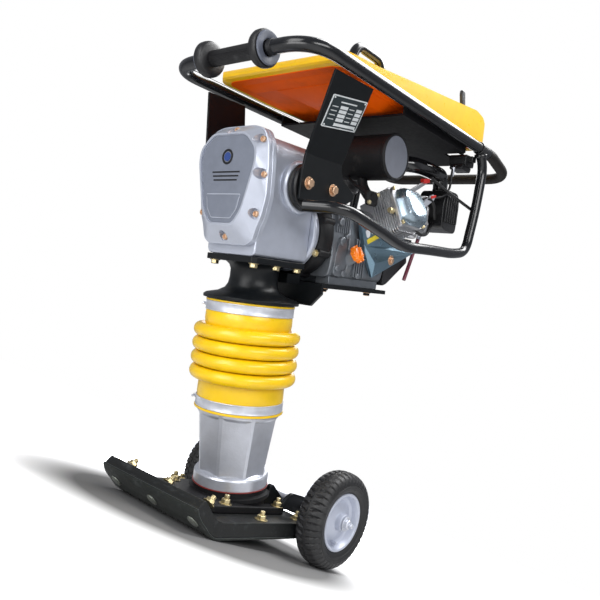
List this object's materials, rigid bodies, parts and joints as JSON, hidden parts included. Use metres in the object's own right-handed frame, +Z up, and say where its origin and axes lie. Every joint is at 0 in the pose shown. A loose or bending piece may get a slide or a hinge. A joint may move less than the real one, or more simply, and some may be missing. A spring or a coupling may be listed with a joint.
{
  "type": "tamping rammer",
  "caption": "upright soil rammer with a spring foot under a bellows, transport wheels, a small petrol engine, a tank on top and a tubular steering frame",
  "frame": {"origin": "middle of the bottom of the box around the machine, on the ground it stands on", "axes": "+X to the machine's left, across it; +Y to the rear, where the operator walks; +Z up"},
  "size_m": [0.4656, 0.9072, 1.222],
  "materials": {
    "powder_coat": "gloss",
    "black_steel": "satin",
    "cast_black": "matt",
    "silver_paint": "satin painted casting",
    "alloy": "bright",
    "steel": "satin",
    "yellow_tank": "gloss",
    "bellows_rubber": "gloss",
    "tyre_rubber": "matt",
    "rubber": "matt",
    "rim_paint": "satin",
    "black_plastic": "satin",
    "orange_plastic": "gloss",
    "shoe_board": "matt grained",
    "hose": "satin",
    "engine_grey": "cast"
  },
  "bodies": {
    "foot": {"sole_plate": "black_steel", "shoe_board": "shoe_board", "foot_casting": "cast_black", "axle": "steel", "lower_leg": "silver_paint", "spring_tube": "steel", "band_lower": "steel", "bellows": "bellows_rubber"},
    "wheel_left": {"tyre_left": "tyre_rubber", "rim_left": "rim_paint"},
    "wheel_right": {"tyre_right": "tyre_rubber", "rim_right": "rim_paint"},
    "upper": {"band_upper": "steel", "guide_tube": "black_steel", "crankcase": "silver_paint", "crankcase_cover": "silver_paint", "bell_housing": "alloy", "clutch_housing": "cast_black", "engine_block": "engine_grey", "engine_cylinder": "alloy", "valve_cover": "alloy", "engine_shroud": "alloy", "fan_housing": "black_plastic", "starter_handle": "black_plastic", "muffler": "cast_black", "carburettor": "alloy", "air_box": "black_plastic", "intake_elbow": "rubber", "air_cleaner": "black_plastic", "engine_base": "black_steel", "rear_bracket": "black_steel", "shock_mount_left": "rubber", "shock_mount_right": "rubber", "drain_nipple": "steel", "drain_hose": "hose"},
    "crank": {"crank_gear": "steel"},
    "clutch": {"clutch_shaft": "steel"},
    "rod": {"piston": "steel"},
    "handle": {"front_bar": "powder_coat", "side_tube_left": "powder_coat", "side_tube_right": "powder_coat", "rear_grip": "rubber", "guard_tube_left": "powder_coat", "guard_tube_right": "powder_coat", "side_plate_left": "black_steel", "side_plate_right": "black_steel", "tank": "yellow_tank", "tank_tray": "black_steel", "lifting_eye": "powder_coat", "name_plate": "alloy", "throttle_housing": "black_plastic", "throttle_cable": "black_plastic"},
    "front_roller": {"roller_sleeve": "rubber", "roller_ring_left": "rubber", "roller_ring_right": "rubber"},
    "throttle": {"throttle_lever": "black_plastic"},
    "cap": {"fuel_cap": "black_plastic"},
    "dipstick": {"oil_cap": "orange_plastic"},
    "choke": {"choke_lever": "steel"}
  },
  "joints": [
    {"name": "ram_slide", "type": "slide", "parent": "foot", "child": "upper", "axis": [0, -0.3795, 0.9252], "range_m": [0, 0.06], "deforming": ["bellows"]},
    {"name": "wheel_left_spin", "type": "hinge", "parent": "foot", "child": "wheel_left", "pos_m": [0.1838, 0.18496, 0.1041], "axis": [1, 0, 0], "continuous": true},
    {"name": "wheel_right_spin", "type": "hinge", "parent": "foot", "child": "wheel_right", "pos_m": [-0.1838, 0.18496, 0.1041], "axis": [1, 0, 0], "continuous": true},
    {"name": "crank_spin", "type": "hinge", "parent": "upper", "child": "crank", "pos_m": [0, -0.19958, 0.69157], "axis": [0, 0.9252, 0.3795], "continuous": true},
    {"name": "clutch_spin", "type": "hinge", "parent": "upper", "child": "clutch", "pos_m": [0, -0.16884, 0.61662], "axis": [0, 0.9252, 0.3795], "continuous": true},
    {"name": "rod_slide", "type": "slide", "parent": "upper", "child": "rod", "axis": [0, -0.3795, 0.9252], "range_m": [0, 0.056]},
    {"name": "handle_rock", "type": "hinge", "parent": "upper", "child": "handle", "pos_m": [0, -0.18596, 0.7058], "axis": [1, 0, 0], "range_deg": [-2, 3], "stiffness_Nm_per_rad": 12000},
    {"name": "roller_spin", "type": "hinge", "parent": "handle", "child": "front_roller", "pos_m": [0, -0.41772, 0.86537], "axis": [1, 0, 0], "continuous": true},
    {"name": "throttle_turn", "type": "hinge", "parent": "handle", "child": "throttle", "pos_m": [0.15, 0.24488, 1.08813], "axis": [1, 0, 0], "range_deg": [-18, 12]},
    {"name": "fuel_cap_turn", "type": "hinge", "parent": "handle", "child": "cap", "pos_m": [-0.07, -0.18346, 1.01594], "axis": [0, -0.3795, 0.9252], "range_deg": [0, 90]},
    {"name": "dipstick_turn", "type": "hinge", "parent": "upper", "child": "dipstick", "pos_m": [0.11843, 0.0207, 0.6631], "axis": [0.9062, -0.1605, 0.3913], "range_deg": [0, 360]},
    {"name": "choke_turn", "type": "hinge", "parent": "upper", "child": "choke", "pos_m": [0.143, 0.16807, 0.88882], "axis": [1, 0, 0], "range_deg": [-35, 0]}
  ],
  "couplings": [
    {"joint": "clutch_spin", "follows": "crank_spin", "ratio": -1.5323}
  ]
}
